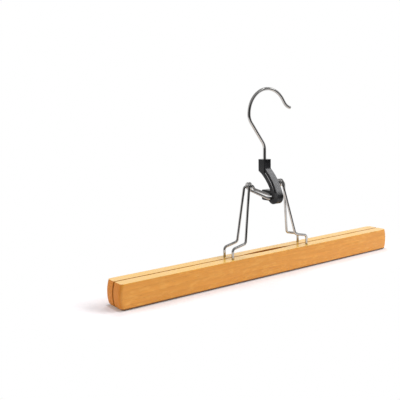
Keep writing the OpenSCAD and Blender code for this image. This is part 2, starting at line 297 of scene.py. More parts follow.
wood = {
    "early": (0.90, 0.395, 0.052),      # pale wood between the rings
    "late": (0.74, 0.275, 0.030),       # darker ring lines
    "rosy": (0.86, 0.33, 0.052),        # slightly redder patches
    "narrow": (0.94, 0.585, 0.13),      # painted highlight: the top and bottom faces made paler, standing in for the strong light from above
    "fleck": (0.97, 0.52, 0.11),        # short pale rays in the face
    "end": (0.64, 0.18, 0.022),         # end grain, which takes more varnish
    "pore": (0.50, 0.17, 0.03),
    "inside": (0.36, 0.11, 0.010),      # painted shade along the slit where the jaws meet, with a share on the gripping faces
    "low": (0.17, 0.055, 0.010),        # painted shade on the outer lower edge, where it meets the floor
    "fibreTones": [(0.3, (0.86, 0.84, 0.80)), (0.7, (1.0, 1.0, 1.0))],
    "shares": {"ring": 0.45, "rosy": 0.5, "pore": 0.35, "fleck": 0.35, "narrow": 0.85, "end": 0.8,
               "low": 0.9, "inside": 0.35, "bareEnd": 0.7},
    "ringWidth": 3.4 * mm,
    "waviness": 16 * mm,
    "ringCentres": {"front": (0.02, 0.034, -0.030), "back": (-0.06, -0.052, -0.041)},
    "slitTop": (2.6 * mm, 1.4 * mm),    # the slit's painted shade: down from the top, where it ends and is whole,
    "slitEnd": (3.0 * mm, 2.2 * mm),    # in from the ends,
    "slitDepth": (1.2 * mm, 0.7 * mm),  # and away from the slit
    "gripDepth": (4 * mm, 2.5 * mm),    # and the painted shade's share on the whole gripping face, away from the slit
    "lowTop": (2.3 * mm, 1.3 * mm),     # the painted shade on the lower edge: up from the floor,
    "lowDepth": 0.4 * mm,               # and how softly it ends under the jaw
    "smudgeScale": 26.0,
    "scratchScale": 700.0,
    "roughness": (0.28, 0.42),
    "bareRoughness": 0.4,               # added where there is no varnish
    "coat": 0.5,
    "coatRoughness": 0.16,
    "specular": 0.25,
    "ior": 1.48,
    "relief": {"fibre": 0.6, "pore": -0.8},
    "reliefStrength": 0.35,
    "reliefHeight": 0.05 * mm,
}


def handled(tree, place, values):
    return placeGroup(tree, handling, {"Vector": place, "Smudge Scale": values["smudgeScale"],
                                       "Scratch Scale": values["scratchScale"]})


def slitShade(tree, spot, face):
    # Painted shade: dark rims of the slit with a share of it on the gripping faces, and painted shade on the
    # outer lower edge
    low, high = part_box("front_jaw")
    fromSlit, fromEnd = (mathNode(tree, "ABSOLUTE", spot[axis]) for axis in "YX")
    rim = larger(tree, within(tree, spot["Z"], *(high.z - depth for depth in wood["slitTop"])),
                 within(tree, fromEnd, *(high.x - depth for depth in wood["slitEnd"])))
    share = mathNode(tree, "POWER", mathNode(tree, "DIVIDE", fromEnd, jaw["hollowLength"] / 2), 2)
    dip = times(tree, minus(tree, 1, share, clamp=True), jaw["hollowDepth"])
    edge = times(tree, rim, within(tree, minus(tree, fromSlit, dip), *wood["slitDepth"]))
    inner = times(tree, within(tree, fromSlit, *wood["gripDepth"]), face)
    start = high.y - low.y - jaw["lowerRound"]
    outer = within(tree, fromSlit, start - wood["lowDepth"], start)
    lowEdgeShade = times(tree, within(tree, spot["Z"], *wood["lowTop"]), outer)
    return larger(tree, edge, times(tree, inner, wood["shares"]["inside"])), lowEdgeShade


def makeWood(name, centre):
    material, tree, shader, place = startMaterial(name)
    board = stretched(tree, place, (1, 1, 1), tuple(-value for value in centre))
    lines = placeGroup(tree, grain, {"Vector": board, "Ring Width": wood["ringWidth"],
                                     "Waviness": wood["waviness"]})
    marks = handled(tree, place, wood)
    fibreTone = rampNode(tree, lines["Fibre"], wood["fibreTones"])
    # the tone of the top and bottom faces, a painted highlight
    narrow = mixColor(tree, 1.0, wood["narrow"], fibreTone, "MULTIPLY")
    endTone = mixColor(tree, lines["Ring"], wood["end"], wood["late"])
    nearSlit, lowEdgeShade = slitShade(tree, splitNode(tree, place), lines["Face"])
    color = wood["early"]
    # among these, the Side mask lays a painted highlight on the top and bottom faces
    for mask, label, tone in (("Ring", "ring", wood["late"]), ("Cloud", "rosy", wood["rosy"]),
                              (None, "fibre", fibreTone), ("Pore", "pore", wood["pore"]),
                              ("Fleck", "fleck", wood["fleck"]), ("Side", "narrow", narrow),
                              ("End", "end", endTone)):
        if mask is None:
            color = mixColor(tree, 1.0, color, tone, "MULTIPLY")
        else:
            color = mixColor(tree, times(tree, lines[mask], wood["shares"][label]), color, tone)
    # painted shade along the slit and on the gripping faces
    color = mixColor(tree, nearSlit, color, wood["inside"])
    # painted shade along the outer lower edge, where it meets the floor
    color = mixColor(tree, times(tree, lowEdgeShade, wood["shares"]["low"]), color, wood["low"])
    tree.links.new(color, shader.inputs["Base Color"])
    low, high = wood["roughness"]
    rough = plus(tree, times(tree, marks["Smudge"], high - low), low)
    bare = larger(tree, nearSlit, times(tree, lines["End"], wood["shares"]["bareEnd"]))
    tree.links.new(plus(tree, rough, times(tree, bare, wood["bareRoughness"])), shader.inputs["Roughness"])
    tree.links.new(times(tree, minus(tree, 1.0, bare), wood["coat"]), shader.inputs["Coat Weight"])
    for label, value in (("Specular IOR Level", "specular"), ("Coat Roughness", "coatRoughness"),
                         ("IOR", "ior")):
        shader.inputs[label].default_value = wood[value]
    relief = plus(tree, times(tree, lines["Fibre"], wood["relief"]["fibre"]),
                  times(tree, lines["Pore"], wood["relief"]["pore"]))
    addBump(tree, shader, relief, wood["reliefStrength"], wood["reliefHeight"])
    return material


plating = {
    "bright": (0.57, 0.56, 0.55),
    "dull": (0.45, 0.43, 0.42),
    "rim": (0.75, 0.75, 0.75, 1),       # plating darkens at its edges
    "wornFrom": 0.56,
    "wornSpread": 0.10,
    "dullShare": 0.5,                   # of the smudges, and of the worn edges
    "roughShares": (0.6, 0.5),          # of the smudges, and of the scratches
    "smudgeScale": 90.0,
    "scratchScale": 1400.0,
    "roughness": (0.08, 0.20),
    "streaks": (60, 40),                # along the wire and around it
    "streakStrength": 0.12,
    "streakHeight": 0.02 * mm,
}


def makePlating(name):
    material, tree, shader, place = startMaterial(name)
    drawn = addNode(tree, "ShaderNodeCombineXYZ")
    for label, axis, scale in zip(("along", "around"), "XY", plating["streaks"]):
        line = addNode(tree, "ShaderNodeAttribute", attribute_name=label).outputs["Fac"]
        tree.links.new(times(tree, line, scale), drawn.inputs[axis])
    streak = noiseNode(tree, drawn.outputs[0], 1, detail=3, roughness=0.6)
    marks = handled(tree, place, plating)
    worn = placeGroup(tree, wornEdges, {"Vector": place, "Start": plating["wornFrom"],
                                        "Spread": plating["wornSpread"]})
    color = plating["bright"]
    for mask in (marks["Smudge"], worn["Edge"]):
        color = mixColor(tree, times(tree, mask, plating["dullShare"]), color, plating["dull"])
    tree.links.new(color, shader.inputs["Base Color"])
    shader.inputs["Metallic"].default_value = 1
    shader.inputs["Specular Tint"].default_value = plating["rim"]
    low, high = plating["roughness"]
    smudged, scratched = plating["roughShares"]
    share = plus(tree, times(tree, marks["Smudge"], smudged), times(tree, marks["Scratch"], scratched),
                 clamp=True)
    tree.links.new(plus(tree, times(tree, share, high - low), low), shader.inputs["Roughness"])
    addBump(tree, shader, streak, plating["streakStrength"], plating["streakHeight"])
    return material


lever = {
    "edge": 0.3 * mm,
    "edgeSteps": 3,
    "edgeAngle": 38,                           # degrees, from which an edge is rounded
    "flatAngle": 0.8,                          # under which two facets are one
    "smoothAngle": 40,
    "armCentre": (36.17 * mm, 61.38 * mm),     # of the arm's curves, in the side view
    "armRadius": 60 * mm,
    "armWidth": 7.4 * mm,
    "grooveFill": (2.3 * mm, 5.3 * mm),        # the plain part's groove, closed
    "groove": (0.9 * mm, 3.2 * mm),            # and the finer one that the photo shows, nearer the edge
    "grooveDepth": 0.9 * mm,
    "grooveEnds": (84.5 * mm, 102.4 * mm),
    "blockCorner": (3.4 * mm, 2.1 * mm),       # cut off the block's lower back corner
    "blockLow": 103 * mm,
    "bandSteps": 24,
    "fillPast": (2 * mm, 1.2 * mm),            # how far the filling runs past the groove's ends,
    "fillUnder": 0.4 * mm,                     # and how far under its floor
    "cutPast": 1 * mm,                         # how far the cuts reach out of the arm and the block
    "blockReach": 8 * mm,                      # to both sides of the block's middle
    "lipDepth": 0.25 * mm,                     # middle of the groove's inner lip, past the groove
    "lipFade": (0.4 * mm, 0.15 * mm),
    "lipSide": (0.4 * mm, 0.2 * mm),           # in from the arm's sides
    "lipEnds": ((0, 9 * mm), (0, 1 * mm)),     # above the groove's two ends, where it comes and goes
    "frontSheenDepth": ((-0.4 * mm, -0.1 * mm), (0.2 * mm, 0.5 * mm)),    # painted sheen on the front: from the arm's curve
    "frontSheenEnds": ((-3 * mm, 3 * mm), (4 * mm, 5 * mm)),              # and above the groove's ends
}

moulding = {
    "color": (0.008, 0.008, 0.009),
    "rubbed": (0.075, 0.075, 0.08),
    "paintedLipHighlight": (0.55, 0.55, 0.56),          # painted highlight along the inner lip of the groove on the arm
    "front": (0.21, 0.21, 0.215),       # painted sheen on the arm's front face, standing in for the light it catches
    "wornFrom": 0.53,
    "wornSpread": 0.12,
    "wornShare": 0.8,
    "scratchShare": 0.3,
    "smudgeScale": 120.0,
    "scratchScale": 1100.0,
    "roughness": (0.15, 0.28),
    "specular": 0.22,
    "speckle": 2600,
    "speckleStrength": 0.10,
    "speckleHeight": 0.02 * mm,
}


def armMasks(tree, place):
    # Where the painted highlight along the groove's inner lip goes, on both sides of the arm, and the
    # painted sheen on the arm's front face
    spot = splitNode(tree, place)
    middleY, middleZ = lever["armCentre"]
    radius = lengthNode(tree, Y=minus(tree, spot["Y"], middleY), Z=minus(tree, spot["Z"], middleZ))
    lipRadius = lever["armRadius"] - lever["groove"][1] - lever["lipDepth"]
    fromLip = mathNode(tree, "ABSOLUTE", minus(tree, radius, lipRadius))
    outside = mathNode(tree, "ABSOLUTE", spot["X"])
    paintedLipHighlight = times(tree, within(tree, fromLip, *lever["lipFade"]),
                within(tree, outside, *(lever["armWidth"] / 2 - depth for depth in lever["lipSide"])))
    paintedLipHighlight = times(tree, paintedLipHighlight, band(tree, spot["Z"], *beside(lever["grooveEnds"], lever["lipEnds"])))
    front = [lever["armRadius"]] * 2
    paintedFrontSheen = times(tree, band(tree, radius, *beside(front, lever["frontSheenDepth"])),
                    band(tree, spot["Z"], *beside(lever["grooveEnds"], lever["frontSheenEnds"])))
    return paintedLipHighlight, paintedFrontSheen


def makeMoulding(name):
    material, tree, shader, place = startMaterial(name)
    marks = handled(tree, place, moulding)
    worn = placeGroup(tree, wornEdges, {"Vector": place, "Start": moulding["wornFrom"],
                                        "Spread": moulding["wornSpread"]})
    paintedLipHighlight, paintedFrontSheen = armMasks(tree, place)
    color = moulding["color"]
    # the lip and front tones are a painted highlight and a painted sheen
    for mask, tone in ((times(tree, worn["Edge"], moulding["wornShare"]), "rubbed"),
                       (times(tree, marks["Scratch"], moulding["scratchShare"]), "rubbed"),
                       (paintedLipHighlight, "paintedLipHighlight"), (paintedFrontSheen, "front")):
        color = mixColor(tree, mask, color, moulding[tone])
    tree.links.new(color, shader.inputs["Base Color"])
    low, high = moulding["roughness"]
    tree.links.new(plus(tree, times(tree, marks["Smudge"], high - low), low), shader.inputs["Roughness"])
    shader.inputs["Specular IOR Level"].default_value = moulding["specular"]
    speckle = noiseNode(tree, place, moulding["speckle"], detail=2)
    addBump(tree, shader, speckle, moulding["speckleStrength"], moulding["speckleHeight"])
    return material


jawWood = {side: makeWood(side + "JawWood", centre) for side, centre in wood["ringCentres"].items()}
brightPlating = makePlating("brightPlating")
blackMoulding = makeMoulding("blackMoulding")
print("materials made")


weld = 0.001 * mm           # corners closer than this are one
coarseWeld = 0.002 * mm     # and closer than this, where edges are rounded afterwards
flatWeight = 80             # how much a face's size counts in the normals at its corners


def newObject(name, data):
    thing = bpy.data.objects.new(name, data)
    bpy.context.scene.collection.objects.link(thing)
    return thing


def applied(thing):
    # The evaluated mesh in place of the object's own, with its modifiers gone
    graph = bpy.context.evaluated_depsgraph_get()
    mesh = bpy.data.meshes.new_from_object(thing.evaluated_get(graph))
    thing.modifiers.clear()
    thing.data = mesh
    return thing


def finishMesh(thing, material, smoothAngle=35, weighted=True):
    bm = bmesh.new()
    bm.from_mesh(thing.data)
    bmesh.ops.remove_doubles(bm, verts=bm.verts, dist=weld)
    bmesh.ops.recalc_face_normals(bm, faces=bm.faces)
    sharp = math.radians(smoothAngle)
    for face in bm.faces:
        face.smooth = True
    for edge in bm.edges:
        edge.smooth = len(edge.link_faces) == 2 and edge.calc_face_angle(0) < sharp
    bm.to_mesh(thing.data)
    bm.free()
    thing.data.materials.clear()
    thing.data.materials.append(material)
    if weighted:        # flat faces stay flat up to their rounded edges
        normals = thing.modifiers.new("normals", "WEIGHTED_NORMAL")
        normals.keep_sharp = True
        normals.weight = flatWeight
        applied(thing)
    return thing


def combine(thing, bm, operation):
    # Adds the solids in bm to a piece, or takes them away
    mesh = bpy.data.meshes.new("tool")
    bmesh.ops.recalc_face_normals(bm, faces=bm.faces)
    bm.to_mesh(mesh)
    bm.free()
    tool = newObject("tool", mesh)
    change = thing.modifiers.new("change", "BOOLEAN")
    change.object = tool
    change.operation = operation
    change.solver = "EXACT"
    applied(thing)
    bpy.data.objects.remove(tool)
    return thing


def addPrism(bm, outline, left, right):
    # A solid between two places in X, from its side view as (y, z) points
    sides = [[bm.verts.new((x, y, z)) for y, z in outline] for x in (left, right)]
    bm.faces.new(sides[0])
    bm.faces.new(reversed(sides[1]))
    for index in range(len(outline)):
        after = (index + 1) % len(outline)
        bm.faces.new((sides[0][index], sides[1][index], sides[1][after], sides[0][after]))


def jawOutline(length, height, inset):
    # Front view of one end, from the middle of the top edge round to the middle of the lower edge
    top, low = height / 2 - inset["top"], -height / 2 + inset["low"]
    bulge = jaw["endBulge"]
    radius = ((height / 2) ** 2 + bulge ** 2) / (2 * bulge)
    centre = length / 2 - radius
    radius -= inset["end"]
    corner = max(jaw["cornerRound"] - inset["end"], jaw["leastCorner"])
    cornerZ = low + corner
    cornerX = centre + math.sqrt((radius - corner) ** 2 - cornerZ ** 2)
    direction = math.atan2(cornerZ, cornerX - centre)
    upper = math.asin(top / radius)
    points = []
    for step in range(jaw["endSteps"] + 1):
        angle = upper + (direction - upper) * step / jaw["endSteps"]
        points.append((centre + radius * math.cos(angle), radius * math.sin(angle)))
    for step in range(1, jaw["cornerSteps"] + 1):
        angle = direction + (-math.pi / 2 - direction) * step / jaw["cornerSteps"]
        points.append((cornerX + corner * math.cos(angle), cornerZ + corner * math.sin(angle)))
    return points


def rounding(depth, radius):
    # How far a rounded edge draws the outline in, at a depth below the face
    if depth >= radius:
        return 0.0
    return radius - math.sqrt(max(radius ** 2 - (radius - depth) ** 2, 0))


def jawDepths(width):
    # Where the outline is repeated, from the outer face to the gripping face
    steps = jaw["outerSteps"]
    depths = [jaw["uprightRound"] * (1 - math.cos(math.pi / 2 * step / steps)) for step in range(steps + 1)]
    depths = {round(depth, 7) for depth in (*depths, *jaw["rows"])}
    for radius, steps in zip((jaw["innerEndRound"], jaw["innerRound"]), jaw["innerSteps"]):
        depths |= {width - radius * (1 - math.sin(math.pi / 2 * step / steps)) for step in range(steps)}
    return sorted(depths) + [width]


def hollowAt(x, depth, width):
    # The hollow of the gripping face, which fades out towards the middle of the jaw's thickness
    half, deepest = jaw["hollowLength"] / 2, jaw["hollowDepth"]
    if abs(x) >= half:
        return 0.0
    curve = (half ** 2 + deepest ** 2) / (2 * deepest)
    dip = math.sqrt(curve ** 2 - x ** 2) - (curve - deepest)
    return dip * min(max((depth - width / 2) / (width / 2), 0), 1)


def makeJaw(name, node, inwards):
    # Outlines one behind the other, joined by faces; "inwards" is 1 for the front jaw and -1 for the back
    low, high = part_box(node)
    height, width = high.z - low.z, high.y - low.y
    outer = low.y if inwards > 0 else high.y
    hollow, steps = jaw["hollowLength"] / 2, jaw["hollowSteps"]
    places = [-hollow + 2 * hollow * step / steps for step in range(steps + 1)]
    places += [sign * station for sign in (-1, 1) for station in jaw["stations"]]
    bm = bmesh.new()
    rows = []
    for depth in jawDepths(width):
        inner = rounding(width - depth, jaw["innerRound"])
        half = jawOutline(high.x - low.x, height, {
            "top": max(rounding(depth, jaw["upperRound"]), inner),
            "low": max(rounding(depth, jaw["lowerRound"]), inner),
            "end": max(rounding(depth, jaw["uprightRound"]), rounding(width - depth, jaw["innerEndRound"]))})
        (right, upperZ), (lowest, lowerZ) = half[0], half[-1]
        topXs = sorted({-right, right, *places})
        lowXs = sorted({-lowest, lowest, *places}, reverse=True)
        ring = [(x, upperZ) for x in topXs] + half[1:-1]
        ring += [(x, lowerZ) for x in lowXs] + [(-x, z) for x, z in reversed(half[1:-1])]
        y = outer + inwards * depth
        rows.append([bm.verts.new((x, y - inwards * hollowAt(x, depth, width), z + height / 2 + low.z))
                     for x, z in ring])
    for first, second in zip(rows, rows[1:]):
        for index in range(len(first)):
            after = (index + 1) % len(first)
            bm.faces.new((first[index], first[after], second[after], second[index]))
    tops, ends = len(topXs), len(half) - 2
    for row in (rows[0], rows[-1]):
        lower = row[tops + ends:2 * tops + ends][::-1]
        for index in range(tops - 1):
            bm.faces.new((row[index], row[index + 1], lower[index + 1], lower[index]))
        bm.faces.new(row[tops - 1:tops + ends + 1])
        bm.faces.new(row[2 * tops + ends - 1:] + [row[0]])
    mesh = bpy.data.meshes.new(name)
    bm.to_mesh(mesh)
    bm.free()
    return newObject(name, mesh)


def drill(thing, spots, radius, top, depth):
    # Round holes from above; the drill is longer than the hole, so that it leaves no skin over it
    spare = 2 * mm
    bm = bmesh.new()
    for x, y in spots:
        place = Matrix.Translation((x, y, top - depth / 2 + spare / 2))
        bmesh.ops.create_cone(bm, cap_ends=True, segments=32, radius1=radius, radius2=radius,
                              depth=depth + spare, matrix=place)
    return combine(thing, bm, "DIFFERENCE")


wire = {
    "sides": 28,
    "bendSteps": 10,
    "smoothAngle": 50,             # degrees
}


def namedValue(tree, name):
    return wired(tree, "GeometryNodeInputNamedAttribute", {"Name": name}, data_type="FLOAT")["Attribute"]


def storeValue(tree, geometry, name, value):
    return wired(tree, "GeometryNodeStoreNamedAttribute", {"Name": name, "Geometry": geometry,
                                                           "Value": value},
                 data_type="FLOAT", domain="POINT")[0]


def makeWireTree():
    # Rounds the corners of a chain of points by their "fillet", then sweeps a round wire along it
    tree = bpy.data.node_groups.new("bentWire", "GeometryNodeTree")
    tree.interface.new_socket("Geometry", in_out="INPUT", socket_type="NodeSocketGeometry")
    sockets = {}
    for label, kind in (("Thickness", "NodeSocketFloat"), ("Sides", "NodeSocketInt"),
                        ("Bend Steps", "NodeSocketInt"), ("Finish", "NodeSocketMaterial")):
        sockets[label] = tree.interface.new_socket(label, in_out="INPUT", socket_type=kind).identifier
    tree.interface.new_socket("Geometry", in_out="OUTPUT", socket_type="NodeSocketGeometry")
    given = addNode(tree, "NodeGroupInput").outputs
    result = addNode(tree, "NodeGroupOutput").inputs
    chain = wired(tree, "GeometryNodeMeshToCurve", {"Mesh": given["Geometry"]})[0]
    bends = wired(tree, "GeometryNodeFilletCurve", {"Curve": chain, "Count": given["Bend Steps"],
                                                    "Radius": namedValue(tree, "fillet")}, mode="POLY")[0]
    girth = namedValue(tree, "girth")
    line = wired(tree, "GeometryNodeSetCurveRadius", {"Curve": bends, "Radius": girth})[0]
    lengthAlong = addNode(tree, "GeometryNodeSplineParameter").outputs["Length"]
    line = storeValue(tree, line, "along", lengthAlong)
    circle = wired(tree, "GeometryNodeCurvePrimitiveCircle", {
        "Resolution": given["Sides"], "Radius": times(tree, given["Thickness"], 0.5)}, mode="RADIUS")[0]
    turn = addNode(tree, "GeometryNodeSplineParameter").outputs["Factor"]
    circle = storeValue(tree, circle, "around", turn)
    sweep = addNode(tree, "GeometryNodeCurveToMesh")
    for label, value in (("Fill Caps", True), ("Curve", line), ("Profile Curve", circle)):
        give(tree, sweep.inputs[label], value)
    if "Scale" in sweep.inputs:
        give(tree, sweep.inputs["Scale"], addNode(tree, "GeometryNodeInputRadius").outputs[0])
    real = wired(tree, "GeometryNodeRealizeInstances", {"Geometry": sweep.outputs[0]})[0]
    finish = wired(tree, "GeometryNodeSetMaterial", {"Geometry": real, "Material": given["Finish"]})[0]
    tree.links.new(finish, result[0])
    return tree, sockets


wireTree, wireSockets = makeWireTree()


def bentWire(name, points, thickness, material):
    # points are (place, bend radius, share of the full thickness)
    mesh = bpy.data.meshes.new(name)
    mesh.from_pydata([place for place, _, _ in points], [(i, i + 1) for i in range(len(points) - 1)], [])
    for label, column in (("fillet", 1), ("girth", 2)):
        values = mesh.attributes.new(label, "FLOAT", "POINT")
        values.data.foreach_set("value", [point[column] for point in points])
    thing = newObject(name, mesh)
    modifier = thing.modifiers.new("bentWire", "NODES")
    modifier.node_group = wireTree
    for label, value in (("Thickness", thickness), ("Sides", wire["sides"]),
                         ("Bend Steps", wire["bendSteps"]), ("Finish", material)):
        modifier[wireSockets[label]] = value
    return finishMesh(applied(thing), material, wire["smoothAngle"], weighted=False)


frameWire = {
    "thickness": 2.6 * mm,
    "footBendHeight": 33.2 * mm,
    "legX": 33.8 * mm,
    "legBendHeight": 36.6 * mm,
    "bend": 3.4 * mm,
    "hingeX": 26.7 * mm,           # outer end of a hinge run
    "coilInset": 3.8 * mm,
    "coilPlay": 0.08 * mm,
    "coilPitch": 2.72 * mm,
    "coilTurn": 555,               # degrees, to where the coil's tail leaves: over one and a half turns
    "coilSteps": 44,
    "coilTail": 3.2 * mm,
    "coilLead": 2.5 * mm,
    "legTopBend": 8 * mm,
    "outerBend": 2.6 * mm,
    "armBend": 2.4 * mm,
    "backBarBend": 2.8 * mm,
    "frontBarBend": 4.4 * mm,
    "armDrop": Vector((0.9, -0.5, -3.4)) * mm,
    "runPast": 3.4 * mm,
    "backCorner": 5.7 * mm,
    "frontCorner": 7.0 * mm,
    "frontBar": Vector((0, -0.5, -3.7)) * mm,      # from the lever's pivot
}


def legPoints(node, jawNode):
    # One leg's foot and its two bends, which are the same in both frames
    w = frameWire
    low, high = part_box(node)
    footX = high.x - w["thickness"] / 2
    jawY = sum(corner.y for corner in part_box(jawNode)) / 2
    return [(Vector((-footX, jawY, low.z)), 0, 1),
            (Vector((-footX, jawY, w["footBendHeight"])), w["bend"], 1),
            (Vector((-w["legX"], jawY, w["legBendHeight"])), w["bend"], 1)]


def bothHalves(points):
    # The left half of a frame, and its mirror image from the middle outwards
    return points + [(Vector((-place.x, place.y, place.z)), bend, share)
                     for place, bend, share in reversed(points)]


def makeFrontFrame():
    # Each upper corner is a coil round the hinge run, made as a row of tilted half turns
    w = frameWire
    radius = w["thickness"] + w["coilPlay"]
    coilX = -w["hingeX"] + w["coilInset"]
    points = legPoints("front_frame", "front_jaw")
    points.append((Vector((coilX, hingeLine.y - radius, hingeLine.z - w["coilLead"])), w["legTopBend"], 1))
    halfClimb = w["coilPitch"] / 2
    tall = math.hypot(radius, halfClimb / 2)
    for step in range(w["coilSteps"] + 1):
        turned = w["coilTurn"] * step / w["coilSteps"]
        angle, part = math.radians(turned), math.radians(turned % 180)
        climb = halfClimb * (turned // 180 + (1 - math.cos(part)) / 2)
        points.append((Vector((coilX + climb, hingeLine.y - radius * math.cos(angle),
                               hingeLine.z + tall * math.sin(angle))), 0, 1))
    last = points[-1][0]
    heading = (last - points[-2][0]).normalized()
    points.append((last + heading * w["coilTail"], w["armBend"], 1))
    bar = leverPivot + w["frontBar"]
    points.append((Vector((-w["frontCorner"], bar.y, bar.z)), w["frontBarBend"], 1))
    return bothHalves(points)


def makeBackFrame():
    # Each upper corner is a straight hinge run inside the front frame's coil
    w = frameWire
    coilEndX = -w["hingeX"] + w["coilInset"] + 1.5 * w["coilPitch"]
    runEnd = Vector((coilEndX + w["runPast"], hingeLine.y, hingeLine.z))
    points = legPoints("back_frame", "back_jaw")
    points += [(Vector((-w["hingeX"], hingeLine.y, hingeLine.z)), w["outerBend"], 1),
               (runEnd, w["armBend"], 1),
               (runEnd + w["armDrop"], w["armBend"], 1),
               (Vector((-w["backCorner"], leverPivot.y, leverPivot.z)), w["backBarBend"], 1)]
    return bothHalves(points)


frontFrame = bentWire("frontFrame", makeFrontFrame(), frameWire["thickness"], brightPlating)
backFrame = bentWire("backFrame", makeBackFrame(), frameWire["thickness"], brightPlating)
print("wire frames bent")


hook = {
    "thickness": 3.2 * mm,
    "headWidth": 5 * mm,
    "headHeight": 1.6 * mm,
    "shankBend": 12 * mm,
    "shankBendZ": 126.3 * mm,
    "lean": 37,                    # degrees
    "rise": 24.4 * mm,
    "heelBend": 14 * mm,
    "archRadius": 24.5 * mm,
    "archEnd": 35,
    "tipLength": 4 * mm,
    "tipBend": 13 * mm,
    "tipAngle": 45,
    "cutRound": 0.5 * mm,
    "shankSteps": 10,
    "heelSteps": 12,
    "archSteps": 44,
    "tipSteps": 12,
}


def arcPoints(centre, radius, start, turn, steps):
    # In the plane of the hook; angles in degrees, positive anticlockwise seen from the front
    points = []
    for step in range(steps + 1):
        angle = math.radians(start + turn * step / steps)
        points.append(Vector((centre.x + radius * math.cos(angle), shankLine.y,
                              centre.z + radius * math.sin(angle))))
    return points


def makeHook():
    # From the upset head in the block, up the leaning shank and over the arch to the flared tip
    h = hook
    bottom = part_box("hook")[0].z
    y = shankLine.y
    lean, end = math.radians(h["lean"]), math.radians(h["archEnd"])
    head = h["headWidth"] / h["thickness"]
    points = [(Vector((0, y, bottom + rise)), 0, share)       # the head, and the step down to the shank
              for rise, share in ((0, head * 0.9), (0.15 * mm, head), (h["headHeight"], head),
                                  (h["headHeight"] + 0.02 * mm, 1))]
    line = arcPoints(Vector((-h["shankBend"], y, h["shankBendZ"])), h["shankBend"], 0, h["lean"],
                     h["shankSteps"])
    riseEnd = line[-1] + Vector((-math.sin(lean), 0, math.cos(lean))) * h["rise"]
    heelCentre = riseEnd + Vector((math.cos(lean), 0, math.sin(lean))) * h["heelBend"]
    archCentre = heelCentre + Vector((h["archRadius"] - h["heelBend"], 0, 0))
    line += arcPoints(heelCentre, h["heelBend"], 180 + h["lean"], -h["lean"], h["heelSteps"])
    line += arcPoints(archCentre, h["archRadius"], 180, h["archEnd"] - 180, h["archSteps"])[1:]
    tipStart = line[-1] + Vector((math.sin(end), 0, -math.cos(end))) * h["tipLength"]
    tipCentre = tipStart + Vector((math.cos(end), 0, math.sin(end))) * h["tipBend"]
    line += arcPoints(tipCentre, h["tipBend"], 180 + h["archEnd"], h["tipAngle"], h["tipSteps"])
    points += [(place, 0, 1) for place in line[:-1]]
    heading = (line[-1] - line[-2]).normalized()
    for share, girth in ((1, 1), (0.35, 0.9), (0, 0.72)):       # the cut end, rounded
        points.append((line[-1] - heading * h["cutRound"] * share, 0, girth))
    return points


hookWire = bentWire("hookWire", makeHook(), hook["thickness"], brightPlating)
print("hook bent")


def armBand(outer, inner, low, high):
    # Side view of a band along the arm, measured inwards from its outer curve, between two heights
    middleY, middleZ = lever["armCentre"]
    steps = lever["bandSteps"]
    outline = []
    for depth, ends in ((outer, (low, high)), (inner, (high, low))):
        radius = lever["armRadius"] - depth
        first, last = (math.asin((z - middleZ) / radius) for z in ends)
        for step in range(steps + 1):
            angle = first + (last - first) * step / steps
            outline.append((middleY - radius * math.cos(angle), middleZ + radius * math.sin(angle)))
    return outline


def blockChamfer(node):
    # Side view of what comes off the block's lower back corner
    back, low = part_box(node)[1].y, lever["blockLow"]
    sideways, upwards = lever["blockCorner"]
    past = lever["cutPast"]
    return [(back - sideways, low - 0.01 * mm), (back + past, low - past),
            (back + past, low + upwards * (1 + past / sideways))]


def makeLever(name, node, material):
    # The part's own shape with a finer groove, and with its edges softened as they come out of a mould
    bm = bmesh.new()
    bm.from_mesh(frame["nodes"][node].data)
    bmesh.ops.remove_doubles(bm, verts=bm.verts, dist=coarseWeld)
    mesh = bpy.data.meshes.new(name)
    bm.to_mesh(mesh)
    bm.free()
    thing = newObject(name, mesh)
    half, floor = lever["armWidth"] / 2, lever["armWidth"] / 2 - lever["grooveDepth"]
    low, high = lever["grooveEnds"]
    under, over = lever["fillPast"]
    filling, cuts = bmesh.new(), bmesh.new()
    for side in (-1, 1):
        addPrism(filling, armBand(*lever["grooveFill"], low - under, high + over),
                 side * half, side * (floor - lever["fillUnder"]))
        addPrism(cuts, armBand(*lever["groove"], low, high), side * floor,
                 side * (half + lever["cutPast"]))
    addPrism(cuts, blockChamfer(node), -lever["blockReach"], lever["blockReach"])
    combine(thing, filling, "UNION")
    combine(thing, cuts, "DIFFERENCE")
    bm = bmesh.new()
    bm.from_mesh(thing.data)
    bmesh.ops.remove_doubles(bm, verts=bm.verts, dist=coarseWeld)
    bmesh.ops.dissolve_limit(bm, angle_limit=math.radians(lever["flatAngle"]), verts=bm.verts,
                             edges=bm.edges, delimit=set())
    bm.to_mesh(thing.data)
    bm.free()
    bevel = thing.modifiers.new("edges", "BEVEL")
    bevel.width = lever["edge"]
    bevel.segments = lever["edgeSteps"]
    bevel.limit_method = "ANGLE"
    bevel.angle_limit = math.radians(lever["edgeAngle"])
    return finishMesh(applied(thing), material, lever["smoothAngle"])


leverBody = makeLever("leverBody", "lever", blackMoulding)
print("lever softened")

jawPieces = {}
for side, inwards in (("front", 1), ("back", -1)):
    node = side + "_jaw"
    low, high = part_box(node)
    frameLow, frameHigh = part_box(side + "_frame")
    footX = frameHigh.x - frameWire["thickness"] / 2
    radius = frameWire["thickness"] / 2 + jaw["holeGap"]
    middle = (low.y + high.y) / 2
    piece = makeJaw(side + "Jaw", node, inwards)
    drill(piece, [(footX, middle), (-footX, middle)], radius, high.z, high.z - frameLow.z)
    jawPieces[side] = finishMesh(piece, jawWood[side])
print("jaws made")

for piece, body, node, slot in ((jawPieces["front"], "front_body", "front_jaw", "jaw_wood"),
                                (jawPieces["back"], "back_body", "back_jaw", "jaw_wood"),
                                (frontFrame, "front_body", "front_frame", "frame_wire"),
                                (backFrame, "back_body", "back_frame", "frame_wire"),
                                (leverBody, "lever_body", "lever", "lever_plastic"),
                                (hookWire, "hook_body", "hook", "hook_wire")):
    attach(piece, body)
    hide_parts(node)


